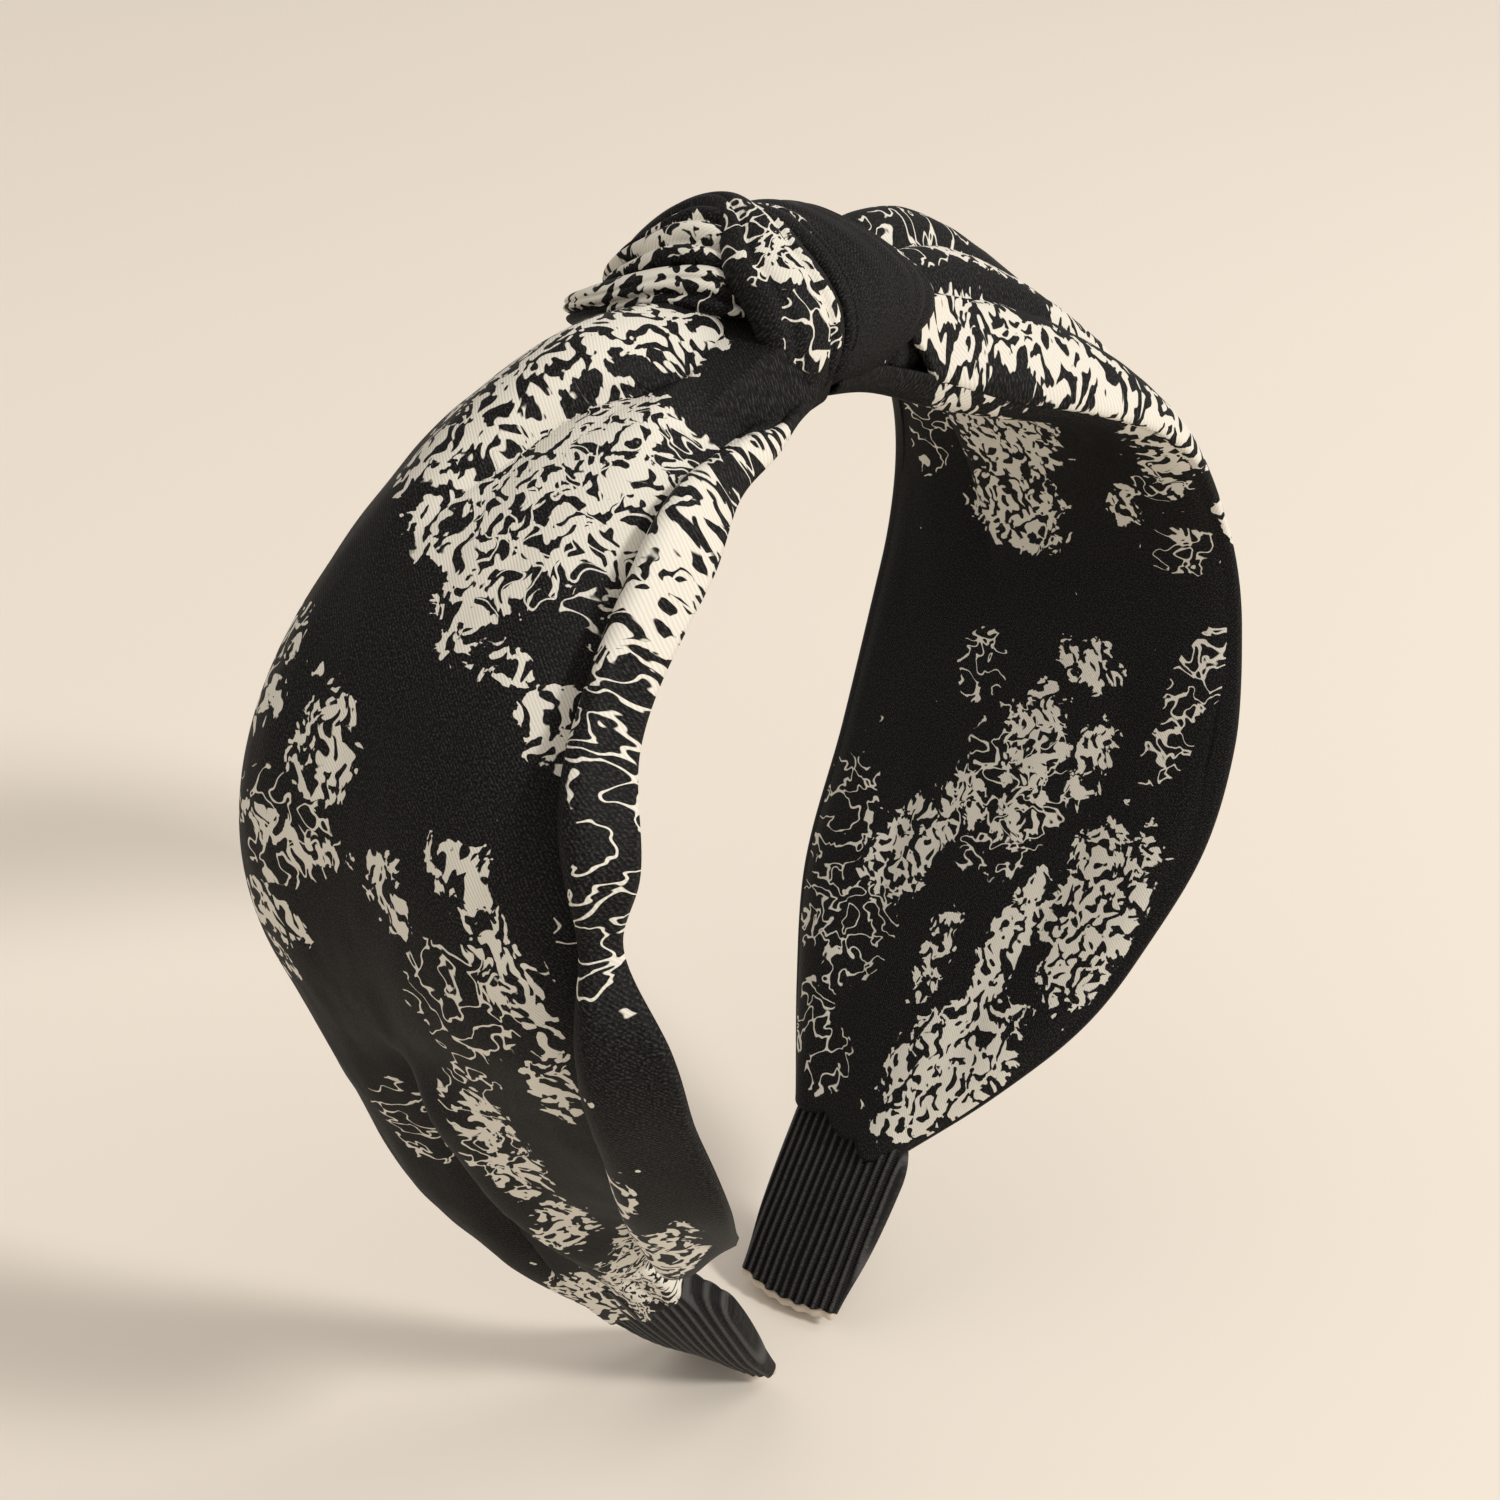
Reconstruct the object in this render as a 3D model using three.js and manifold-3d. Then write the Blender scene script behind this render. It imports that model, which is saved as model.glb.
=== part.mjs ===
// Knotted headband: a springy moulded hoop inside two wide satin sleeves that meet in a knot
// over the crown and run down to two ribbon-covered tips.
//
// Frame: millimetres, +Z up, X across the head from tip to tip, -Y towards the wearer's face.
// The origin is on the surface that the two tips stand on, under the middle of the whole band.

import * as THREE from 'three';
import { mergeVertices } from 'three/addons/utils/BufferGeometryUtils.js';
import Module from 'manifold-3d';

// ---------------------------------------------------------------- driving dimensions

// Each half of the hoop's centre line is three arcs that run on from each other.
const CROWN = { radius: 72, angle: THREE.MathUtils.degToRad(46) };
const SHOULDER = { radius: 34, angle: THREE.MathUtils.degToRad(65) };
const ARM = { radius: 295, angle: THREE.MathUtils.degToRad(20) };
const TIP_RISE = 1.2; // height of the centre line's end above the surface
const HOOP_PLANE_Y = 4; // the sleeves reach further forward of the hoop than behind it

const FLEX_AT = 26; // distance along the hoop from the crown's middle to where each arm flexes
const FLEX_HALF_GAP = 0.4; // from that place to the solids on each side of it
const HEM_AT = 172; // distance along the hoop from the crown's middle to the sleeve's hem

const GAP = 0.3; // between neighbouring pieces
const CORE = { halfWidth: 5.5, halfThickness: 1.1, endInset: 3 }; // it ends short of the ribbon's end
const CLOTH = 0.8; // a sewn panel, with its fused backing
const LINING = { thickness: 0.7, reach: 0.88, from: 30, to: 145, clearance: 0.8 };
const RIBBON = { from: 165, halfWidthAtTop: 9.4, halfWidthAtTip: 7.2, halfThickness: 2.3 };
const THREAD_RADIUS = 0.25;
const STITCH_ROWS = { upper: 6.5, lower: 3.0 }; // distance above the hem

// The sleeve's half widths towards the face and away from it, and how far it stands out of the
// hoop's centre line on the outside and on the inside, at distances along the hoop.
const SLEEVE_STATIONS = [
  { at: 26, front: 12.5, back: 23, outer: 9.5, inner: 4.6 },
  { at: 45, front: 16, back: 23, outer: 9.5, inner: 4.0 },
  { at: 62, front: 22, back: 23.5, outer: 7.8, inner: 3.2 },
  { at: 90, front: 31, back: 24.5, outer: 4.6, inner: 2.8 },
  { at: 120, front: 32, back: 23.5, outer: 4.4, inner: 2.8 },
  { at: 143, front: 28, back: 22, outer: 4.8, inner: 3.4 },
  { at: 158, front: 20, back: 17, outer: 5.4, inner: 4.4 },
  { at: 172, front: 11.5, back: 11.5, outer: 5.2, inner: 4.6 },
];

// The gathered cloth in the knot: as above, along the hoop on either side of the crown's middle.
const GATHER_STATIONS = [
  { at: 0.4, front: 6.9, back: 14.5, outer: 8.5, inner: 4.6 },
  { at: 15, front: 6.9, back: 14.5, outer: 8.5, inner: 4.6 },
  { at: 21, front: 10, back: 19, outer: 10, inner: 5.2 },
  { at: 26, front: 12, back: 22.5, outer: 9.5, inner: 4.6 },
];

// Each loop of the knot: a flat band of cloth that runs round the gathers, with its ends tucked
// under the crown. turn is how far it is twisted about the vertical.
const KNOT_LOOPS = [
  { name: 'knot_front_loop', x: -6.2, width: 11, lift: 0.8, turn: -12 },
  { name: 'knot_side_loop', x: 7.2, width: 11.5, lift: 0, turn: -12 },
];
const LOOP = {
  centreY: 4.6, centreH: 2.2, halfWidth: 13.4, halfHeight: 9.8, thickness: 3,
  start: -58, end: 238, // degrees round the loop from straight forward, over the top
};

const COLOURS = {
  satin: { color: 0x17161a, roughness: 0.42 },
  ribbon: { color: 0x101012, roughness: 0.7 },
  thread: { color: 0x8c8880, roughness: 0.8 },
  lining: { color: 0xd9d6cc, roughness: 0.95 },
  core: { color: 0x1d1d20, roughness: 0.5 },
};

// ---------------------------------------------------------------- the hoop's centre line

const ARCS = [CROWN, SHOULDER, ARM].map((arc) => ({ ...arc, length: arc.radius * arc.angle }));
const HALF_LENGTH = ARCS.reduce((total, arc) => total + arc.length, 0);

// The place and heading on the unshifted centre line, which starts at (0, 0) heading along +X.
function followArcs(distance) {
  let x = 0;
  let z = 0;
  let heading = 0;
  let left = distance;
  ARCS.forEach((arc, index) => {
    const last = index === ARCS.length - 1;
    const stretch = last ? left : Math.min(left, arc.length);
    const next = heading + stretch / arc.radius;
    x += arc.radius * (Math.sin(next) - Math.sin(heading));
    z += arc.radius * (Math.cos(next) - Math.cos(heading));
    heading = next;
    left -= stretch;
  });
  return { x, z, heading };
}

const HEIGHT = TIP_RISE - followArcs(HALF_LENGTH).z;

// A point of the hoop's own frame: distance along it, y across it and height out of it.
function hoopPoint(distance, y, height) {
  const side = Math.sign(distance) || 1;
  const { x, z, heading } = followArcs(Math.abs(distance));
  return new THREE.Vector3(
    side * (x + height * Math.sin(heading)),
    HOOP_PLANE_Y + y,
    HEIGHT + z + height * Math.cos(heading),
  );
}

// ---------------------------------------------------------------- lofted bodies

// A closed body through sections of equal size. Each section has a row of points along its top,
// from front to back, and a row along its bottom.
function loft(sections) {
  const across = sections[0].top.length;
  const positions = [];
  sections.forEach(({ top, bottom }) => {
    [...top, ...[...bottom].reverse()].forEach((point) => positions.push(point.x, point.y, point.z));
  });
  const ring = across * 2;
  const indices = [];
  const quad = (a, b, c, d) => indices.push(a, b, c, a, c, d);
  for (let row = 0; row < sections.length - 1; row += 1) {
    for (let i = 0; i < ring; i += 1) {
      const next = (i + 1) % ring;
      quad(row * ring + i, (row + 1) * ring + i, (row + 1) * ring + next, row * ring + next);
    }
  }
  const last = (sections.length - 1) * ring;
  for (let i = 0; i < across - 1; i += 1) {
    const under = ring - 1 - i;
    quad(i, i + 1, under - 1, under);
    quad(last + i, last + under, last + under - 1, last + i + 1);
  }
  const geometry = new THREE.BufferGeometry();
  geometry.setAttribute('position', new THREE.Float32BufferAttribute(positions, 3));
  geometry.setIndex(indices);
  if (signedVolume(geometry) < 0) {
    turnInsideOut(geometry);
  }
  return geometry;
}

function signedVolume(geometry) {
  const corner = [new THREE.Vector3(), new THREE.Vector3(), new THREE.Vector3()];
  const { array } = geometry.index;
  let volume = 0;
  for (let i = 0; i < array.length; i += 3) {
    corner.forEach((point, k) => point.fromBufferAttribute(geometry.attributes.position, array[i + k]));
    volume += corner[0].dot(corner[1].clone().cross(corner[2])) / 6;
  }
  return volume;
}

function turnInsideOut(geometry) {
  const { array } = geometry.index;
  for (let i = 0; i < array.length; i += 3) {
    [array[i + 1], array[i + 2]] = [array[i + 2], array[i + 1]];
  }
}

// Values of the stations' fields at a distance, eased smoothly from each station to the next.
function between(stations, distance) {
  const last = stations.length - 1;
  const clamped = THREE.MathUtils.clamp(distance, stations[0].at, stations[last].at);
  let index = 0;
  while (index < last - 1 && clamped > stations[index + 1].at) {
    index += 1;
  }
  const from = stations[index];
  const to = stations[index + 1];
  const before = stations[Math.max(index - 1, 0)];
  const after = stations[Math.min(index + 2, last)];
  const t = (clamped - from.at) / (to.at - from.at);
  const result = {};
  Object.keys(from).forEach((key) => {
    const slopeIn = ((to[key] - before[key]) / (to.at - before.at)) * (to.at - from.at);
    const slopeOut = ((after[key] - from[key]) / (after.at - from.at)) * (to.at - from.at);
    result[key] = hermite(from[key], slopeIn, to[key], slopeOut, t);
  });
  return result;
}

function hermite(from, slopeIn, to, slopeOut, t) {
  const t2 = t * t;
  const t3 = t2 * t;
  return from * (2 * t3 - 3 * t2 + 1) + slopeIn * (t3 - 2 * t2 + t)
    + to * (3 * t2 - 2 * t3) + slopeOut * (t3 - t2);
}

function evenly(from, to, count) {
  return Array.from({ length: count + 1 }, (_, i) => THREE.MathUtils.lerp(from, to, i / count));
}

// Places across a section, from -1 at its front edge to 1 at its back edge, closer at the edges.
function acrossPlaces(count, reach = 1) {
  return evenly(-1, 1, count).map((place) => Math.sin((place * Math.PI) / 2) * reach);
}

const crown = (place) => (1 - place ** 4) ** 0.75; // how a section rises from its edges
const squared = (value) => Math.sign(value) * Math.abs(value) ** 0.7; // turns a circle into a softened square

// ---------------------------------------------------------------- the parts

function coreSolid(from, to, { halfWidth, halfThickness }, steps) {
  const sections = evenly(from, to, steps).map((distance) => {
    const row = (height) => [-1, -0.5, 0, 0.5, 1]
      .map((place) => hoopPoint(distance, place * halfWidth, height * (place ** 2 === 1 ? 0.6 : 1)));
    return { top: row(halfThickness), bottom: row(-halfThickness) };
  });
  return loft(sections);
}

// One skin of a sleeve: facing 1 is the outer panel, -1 is the inner one.
function panelSolid(side, facing) {
  const places = acrossPlaces(8);
  const sections = evenly(FLEX_AT + FLEX_HALF_GAP, HEM_AT, 24).map((distance) => {
    const width = between(SLEEVE_STATIONS, distance);
    const bulge = (facing > 0 ? width.outer : width.inner) - CLOTH - GAP / 2;
    const row = (skin) => places.map((place) => {
      const y = place * (place < 0 ? width.front : width.back);
      return hoopPoint(side * distance, y, facing * (GAP / 2 + skin + bulge * crown(place)));
    });
    return { top: row(CLOTH), bottom: row(0) };
  });
  return loft(sections);
}

// The stiff backing that keeps a sleeve wide, just under its outer panel.
function liningSolid(side) {
  const places = acrossPlaces(8, LINING.reach);
  const sections = evenly(LINING.from, LINING.to, 18).map((distance) => {
    const width = between(SLEEVE_STATIONS, distance);
    const bulge = width.outer - CLOTH - GAP / 2;
    const row = (depth) => places.map((place) => {
      const y = place * (place < 0 ? width.front : width.back);
      return hoopPoint(side * distance, y, GAP / 2 + bulge * crown(place) - LINING.clearance - depth);
    });
    return { top: row(0), bottom: row(LINING.thickness) };
  });
  return loft(sections);
}

// The pocket of ribbon over a tip: wide and flat, with a tunnel for the hoop, and cut level
// where it stands on the surface.
function ribbonSolid(wasm, side) {
  const places = acrossPlaces(8);
  const endRound = 4; // length over which the tip's outline rounds off
  const distances = [...evenly(RIBBON.from, HALF_LENGTH - endRound, 6),
    ...evenly(HALF_LENGTH - endRound, HALF_LENGTH + 0.6, 5).slice(1)];
  const sections = distances.map((distance) => {
    const run = (distance - RIBBON.from) / (HALF_LENGTH - RIBBON.from);
    const straight = THREE.MathUtils.lerp(RIBBON.halfWidthAtTop, RIBBON.halfWidthAtTip, run);
    const past = Math.max(0, distance - (HALF_LENGTH - endRound)) / (endRound + 0.9);
    const halfWidth = straight * Math.sqrt(1 - past ** 2) ** 0.6;
    const row = (sign) => places.map((place) => hoopPoint(
      side * distance, place * halfWidth, sign * RIBBON.halfThickness * Math.max(0.35, crown(place)),
    ));
    return { top: row(1), bottom: row(-1) };
  });
  const tunnel = coreSolid(
    side * (RIBBON.from - 4), side * (HALF_LENGTH - CORE.endInset + GAP),
    { halfWidth: CORE.halfWidth + GAP, halfThickness: CORE.halfThickness + GAP }, 8,
  );
  const below = new THREE.BoxGeometry(60, 60, 20).translate(0, 0, -10);
  return cut(wasm, loft(sections), [tunnel, below]);
}

// Gathered cloth on one side of the knot's middle, with a tunnel for the hoop.
function gatherSolid(wasm, side) {
  const places = acrossPlaces(8);
  const sections = evenly(GATHER_STATIONS[0].at, FLEX_AT - FLEX_HALF_GAP, 10).map((distance) => {
    const width = between(GATHER_STATIONS, distance);
    const row = (height) => places.map((place) => {
      const y = place * (place < 0 ? width.front : width.back);
      return hoopPoint(side * distance, y, height * Math.max(0.08, crown(place)));
    });
    return { top: row(width.outer), bottom: row(-width.inner) };
  });
  const tunnel = coreSolid(
    -side * 2, side * (FLEX_AT + 2),
    { halfWidth: CORE.halfWidth + GAP, halfThickness: CORE.halfThickness + GAP }, 8,
  );
  return cut(wasm, loft(sections), [tunnel]);
}

// A band of cloth round the gathers, as wide as it is in X, with both ends under the crown.
function loopSolid({ x, width, lift, turn }) {
  const places = evenly(-1, 1, 4);
  const twist = THREE.MathUtils.degToRad(turn);
  const sections = evenly(LOOP.start, LOOP.end, 26).map((degrees) => {
    const angle = THREE.MathUtils.degToRad(degrees);
    const row = (skin) => places.map((place) => {
      const puff = skin * LOOP.thickness * (0.35 + 0.65 * Math.sqrt(1 - 0.9 * place ** 2));
      const y = LOOP.centreY - squared(Math.cos(angle)) * (LOOP.halfWidth - LOOP.thickness / 2 + puff);
      const h = LOOP.centreH + squared(Math.sin(angle)) * (LOOP.halfHeight - LOOP.thickness / 2 + puff)
        + lift * Math.max(0, Math.sin(angle));
      const along = place * (width / 2) + Math.tan(twist) * (y - LOOP.centreY) * -1;
      return hoopPoint(x + along, y, h);
    });
    return { top: row(1), bottom: row(0) };
  });
  return loft(sections);
}

// A row of thread round the sleeve at its hem, open by a stitch at the back edge.
function stitchSolid(side, aboveHem) {
  const distance = HEM_AT - aboveHem;
  const width = between(SLEEVE_STATIONS, distance);
  const stand = GAP + THREAD_RADIUS;
  const angles = evenly(8, 352, 40).map(THREE.MathUtils.degToRad);
  const points = angles.map((angle) => {
    const halfWidth = Math.cos(angle) < 0 ? width.front : width.back;
    const y = Math.cos(angle) * (halfWidth + 3 * GAP);
    const place = Math.min(1, Math.abs(y) / halfWidth);
    const facing = Math.sign(Math.sin(angle)) || 1;
    const bulge = (facing > 0 ? width.outer : width.inner) - CLOTH - GAP / 2;
    const height = GAP / 2 + CLOTH + bulge * crown(place) + stand;
    return hoopPoint(side * distance, y, facing * height * Math.sqrt(1 - Math.cos(angle) ** 24));
  });
  const section = new THREE.Shape();
  section.absarc(0, 0, THREAD_RADIUS, 0, Math.PI * 2, false);
  const extruded = new THREE.ExtrudeGeometry(section, {
    extrudePath: new THREE.CatmullRomCurve3(points), steps: 36, curveSegments: 3, bevelEnabled: false,
  });
  return extruded;
}

// ---------------------------------------------------------------- boolean cuts

function toManifold(wasm, geometry) {
  const bare = new THREE.BufferGeometry();
  bare.setAttribute('position', geometry.attributes.position.clone());
  if (geometry.index) {
    bare.setIndex(geometry.index.clone());
  }
  const merged = mergeVertices(bare, 1e-5);
  return new wasm.Manifold(new wasm.Mesh({
    numProp: 3,
    vertProperties: new Float32Array(merged.attributes.position.array),
    triVerts: new Uint32Array(merged.index.array),
  }));
}

function cut(wasm, geometry, tools) {
  let solid = toManifold(wasm, geometry);
  tools.forEach((tool) => {
    solid = solid.subtract(toManifold(wasm, tool));
  });
  const mesh = solid.getMesh();
  const result = new THREE.BufferGeometry();
  result.setAttribute('position', new THREE.Float32BufferAttribute(mesh.vertProperties, 3));
  result.setIndex([...mesh.triVerts]);
  return result;
}

// ---------------------------------------------------------------- assembly

const wasm = await Module();
wasm.setup();

const materials = Object.fromEntries(Object.entries(COLOURS).map(([name, look]) => [
  name, new THREE.MeshStandardMaterial({ ...look, metalness: 0, name }),
]));

const headband = new THREE.Group();
headband.name = 'knotted_headband';

function add(name, geometry, material) {
  geometry.computeVertexNormals();
  const mesh = new THREE.Mesh(geometry, materials[material].clone());
  mesh.name = name;
  headband.add(mesh);
}

const crownEnd = FLEX_AT - FLEX_HALF_GAP;
add('crown_core', coreSolid(-crownEnd, crownEnd, CORE, 12), 'core');
KNOT_LOOPS.forEach((loop) => add(loop.name, loopSolid(loop), 'satin'));

[['left', -1], ['right', 1]].forEach(([hand, side]) => {
  add(`${hand}_gather`, gatherSolid(wasm, side), 'satin');
  const coreFrom = side * (FLEX_AT + FLEX_HALF_GAP);
  add(`${hand}_core`, coreSolid(coreFrom, side * (HALF_LENGTH - CORE.endInset), CORE, 24), 'core');
  add(`${hand}_outer_panel`, panelSolid(side, 1), 'satin');
  add(`${hand}_inner_panel`, panelSolid(side, -1), 'satin');
  add(`${hand}_interlining`, liningSolid(side), 'lining');
  add(`${hand}_tip_ribbon`, ribbonSolid(wasm, side), 'ribbon');
  Object.entries(STITCH_ROWS).forEach(([row, aboveHem]) => {
    add(`${hand}_hem_stitch_${row}`, stitchSolid(side, aboveHem), 'thread');
  });
});

export default headband;
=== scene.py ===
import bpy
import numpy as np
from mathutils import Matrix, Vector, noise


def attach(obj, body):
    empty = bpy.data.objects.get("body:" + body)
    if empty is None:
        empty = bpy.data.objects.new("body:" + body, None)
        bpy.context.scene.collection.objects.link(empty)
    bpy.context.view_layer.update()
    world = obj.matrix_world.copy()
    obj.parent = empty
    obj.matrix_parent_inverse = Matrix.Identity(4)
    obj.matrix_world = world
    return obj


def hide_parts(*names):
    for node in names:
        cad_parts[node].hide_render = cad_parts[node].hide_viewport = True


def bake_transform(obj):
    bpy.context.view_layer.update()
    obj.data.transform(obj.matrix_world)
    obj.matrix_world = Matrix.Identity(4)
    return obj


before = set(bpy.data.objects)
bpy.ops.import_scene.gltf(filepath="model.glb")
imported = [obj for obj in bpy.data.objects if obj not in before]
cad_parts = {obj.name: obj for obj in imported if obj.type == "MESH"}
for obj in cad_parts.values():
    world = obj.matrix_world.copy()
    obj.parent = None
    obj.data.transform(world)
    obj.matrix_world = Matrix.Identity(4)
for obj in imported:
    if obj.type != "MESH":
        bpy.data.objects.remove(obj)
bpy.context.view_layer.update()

# The looks of the knotted headband: two satin sleeves on a springy hoop, tied in a knot over the
# crown, with grosgrain tips. Shapes are worked out in millimetres in the hoop's own frame, as
# (distance along the hoop from the crown's middle, distance across it, height out of it), and
# the left half has negative distances. Meshes are in metres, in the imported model's frame.

MM = 0.001

# ---------------------------------------------------------------- the hoop, as in the frame

# The centre line from the crown's middle down each side: the radius and the angle of each arc.
ARCS = [(72.0, np.radians(46)), (34.0, np.radians(65)), (295.0, np.radians(20))]
HALF_LENGTH = sum(radius * angle for radius, angle in ARCS)
TIP_RISE = 1.2           # height of the centre line's ends over the floor
HOOP_PLANE_Y = 4.0
HEM_AT = 172.0           # where the sleeves end, along the hoop
SIDES = {"left": -1, "right": 1}


def follow_arcs(distance):
    """x, z and heading of the centre line at distances from the crown's middle."""
    left = np.array(distance, float)
    x, z, heading = np.zeros_like(left), np.zeros_like(left), np.zeros_like(left)
    for index, (radius, angle) in enumerate(ARCS):
        last = index == len(ARCS) - 1
        stretch = left if last else np.minimum(left, radius * angle)
        turned = heading + stretch / radius
        x = x + radius * (np.sin(turned) - np.sin(heading))
        z = z + radius * (np.cos(turned) - np.cos(heading))
        heading = turned
        left = left - stretch
    return x, z, heading


HEIGHT = TIP_RISE - float(follow_arcs(HALF_LENGTH)[1])     # of the centre line at the crown's middle

# How far the left arm is turned about the hoop's own line, as (distance along, degrees). Its
# front edge goes in, towards the head.
TWIST = [(0, 0), (100, 0), (112, 0), (125, 3), (140, 12), (155, 24), (166, 30), (180, 24), (192, 10),
         (199.5, 2)]


def hoop_points(along, across, out):
    """Points in metres from places in the hoop's own frame in millimetres."""
    along, across, out = np.broadcast_arrays(np.asarray(along, float), across, out)
    side = np.where(along < 0, -1.0, 1.0)
    x, z, heading = follow_arcs(np.abs(along))
    turn = np.radians(curve(TWIST, np.abs(along))) * (along < 0)
    across, out = across * np.cos(turn) - out * np.sin(turn), out * np.cos(turn) + across * np.sin(turn)
    points = [side * (x + out * np.sin(heading)), HOOP_PLANE_Y + across,
              HEIGHT + z + out * np.cos(heading)]
    return np.stack(points, axis=-1) * MM


# ---------------------------------------------------------------- smooth curves and steps

def smooth_step(value, start, end):
    """0 before start, 1 past end, and a smooth rise between them."""
    t = np.clip((value - start) / (end - start), 0, 1)
    return t * t * (3 - 2 * t)


def curve(points, at):
    """A smooth curve through (place, value, ...) rows, held level past its ends."""
    rows = np.array(points, float)
    places, values = rows[:, 0], rows[:, 1:]
    slopes = np.gradient(values, places, axis=0)
    at = np.clip(np.asarray(at, float), places[0], places[-1])
    index = np.clip(np.searchsorted(places, at, side="right") - 1, 0, len(places) - 2)
    span = places[index + 1] - places[index]
    t = ((at - places[index]) / span)[..., None]
    span = span[..., None]
    result = (values[index] * (2 * t**3 - 3 * t**2 + 1)
              + slopes[index] * span * (t**3 - 2 * t**2 + t)
              + values[index + 1] * (3 * t**2 - 2 * t**3)
              + slopes[index + 1] * span * (t**3 - t**2))
    return result[..., 0] if result.shape[-1] == 1 else result


def signed_power(value, power):
    return np.sign(value) * np.abs(value) ** power


def ring_angles(count):
    return np.linspace(0, 2 * np.pi, count, endpoint=False)


def run_along(points):
    """Distance along the path through points, at each of them."""
    return np.concatenate([[0], np.cumsum(np.linalg.norm(np.diff(points, axis=0), axis=1))])


def rumple(along, across, grain_along, grain_across, seed):
    """Soft noise from -1 to 1 with its own grain size along and across, in millimetres."""
    places = np.stack([along / grain_along, across / grain_across,
                       np.full_like(along, float(seed))], axis=-1)
    flat = [noise.noise(Vector(place)) for place in places.reshape(-1, 3)]
    return np.array(flat).reshape(along.shape)


# ---------------------------------------------------------------- meshes

def grid_normals(points):
    """Unit normals of a grid of points."""
    down = np.gradient(points, axis=0)
    over = np.gradient(points, axis=1)
    normal = np.cross(down, over)
    return normal / np.maximum(np.linalg.norm(normal, axis=-1, keepdims=True), 1e-12)


def grid_faces(rows, columns, start, flip, closed=False):
    """Quads of a grid of vertices whose first vertex is start."""
    i, j = np.meshgrid(np.arange(rows - 1), np.arange(columns if closed else columns - 1),
                       indexing="ij")
    after = (j + 1) % columns
    quads = np.stack([i * columns + j, i * columns + after,
                      (i + 1) * columns + after, (i + 1) * columns + j], axis=-1)
    quads = quads.reshape(-1, 4) + start
    return quads[:, ::-1] if flip else quads


def mesh_object(name, vertices, faces, uvs=None, masks=None):
    """A smooth object from vertices in metres, with the cloth's own coordinates and masks."""
    mesh = bpy.data.meshes.new(name)
    mesh.from_pydata(vertices.tolist(), [], [list(face) for face in faces])
    mesh.validate()
    if uvs is not None:
        layer = mesh.uv_layers.new(name="cloth")
        corners = np.zeros(len(mesh.loops), np.int32)
        mesh.loops.foreach_get("vertex_index", corners)
        layer.data.foreach_set("uv", uvs[corners].astype(np.float32).ravel())
    for mask, values in (masks or {}).items():
        attribute = mesh.attributes.new(mask, "FLOAT", "POINT")
        attribute.data.foreach_set("value", values.astype(np.float32))
    mesh.polygons.foreach_set("use_smooth", np.ones(len(mesh.polygons), bool))
    mesh.update()
    made = bpy.data.objects.new(name, mesh)
    bpy.context.scene.collection.objects.link(made)
    return made


def signed_volume(vertices, quads):
    """Six times the volume inside quads, which is negative where they face inwards."""
    total = 0.0
    for order in ((0, 1, 2), (0, 2, 3)):
        first, second, third = (vertices[quads[:, corner]] for corner in order)
        total += np.einsum("ij,ij->i", first, np.cross(second, third)).sum()
    return total


def cloth_object(name, points, uvs, masks, thickness):
    """A thin closed sheet: the grid of points is its face side, and its back lies under it."""
    rows, columns = points.shape[:2]
    under = points - grid_normals(points) * thickness * MM
    vertices = np.concatenate([points.reshape(-1, 3), under.reshape(-1, 3)])
    count = rows * columns
    rim = np.concatenate([
        np.arange(columns), np.arange(1, rows) * columns + columns - 1,
        (rows - 1) * columns + np.arange(columns - 2, -1, -1),
        np.arange(rows - 2, 0, -1) * columns])
    after = np.roll(rim, -1)
    edge = np.stack([rim, rim + count, after + count, after], axis=-1)
    faces = np.concatenate([grid_faces(rows, columns, 0, False),
                            grid_faces(rows, columns, count, True), edge])
    if signed_volume(vertices, faces) < 0:
        faces = faces[:, ::-1]
    both = {mask: np.tile(values.ravel(), 2) for mask, values in masks.items()}
    return mesh_object(name, vertices, faces, np.tile(uvs.reshape(-1, 2), (2, 1)), both)


def tube_object(name, rings, uvs=None, masks=None):
    """A closed body through rings of points, with its ends closed by small fans."""
    rows, columns = rings.shape[:2]
    vertices = np.concatenate([rings.reshape(-1, 3), rings[:1].mean(axis=1), rings[-1:].mean(axis=1)])
    sides = grid_faces(rows, columns, 0, False, closed=True)
    first, last = rows * columns, rows * columns + 1
    base = (rows - 1) * columns
    faces = sides.tolist()
    for a in range(columns):
        b = (a + 1) % columns
        faces += [[b, a, first], [base + a, base + b, last]]
    if signed_volume(vertices, sides) < 0:
        faces = [face[::-1] for face in faces]
    # The middles of the two fans come after the rings' own points.
    if uvs is not None:
        flat = uvs.reshape(-1, 2)
        uvs = np.concatenate([flat, flat[:1], flat[-1:]])
    spread = {mask: np.concatenate([values.ravel(), np.full(2, values.mean())])
              for mask, values in (masks or {}).items()}
    return mesh_object(name, vertices, faces, uvs, spread)


# ---------------------------------------------------------------- materials

def new_material(name):
    material = bpy.data.materials.new(name)
    material.use_nodes = True
    tree = material.node_tree
    return material, tree, tree.nodes["Principled BSDF"]


def add_node(tree, kind, settings=None, **inputs):
    """A shader node with its settings, and its inputs linked to sockets or set to values.

    An input is given by its name, or by an underscore and its number."""
    made = tree.nodes.new("ShaderNode" + kind)
    for setting, value in (settings or {}).items():
        setattr(made, setting, value)
    for socket, value in inputs.items():
        target = made.inputs[int(socket[1:])] if socket[1:].isdigit() else \
            made.inputs[socket.replace("_", " ")]
        if isinstance(value, bpy.types.NodeSocket):
            tree.links.new(value, target)
        else:
            target.default_value = value
    return made


def maths(tree, operation, first, second=0.0):
    return add_node(tree, "Math", {"operation": operation}, _0=first, _1=second).outputs[0]


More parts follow.
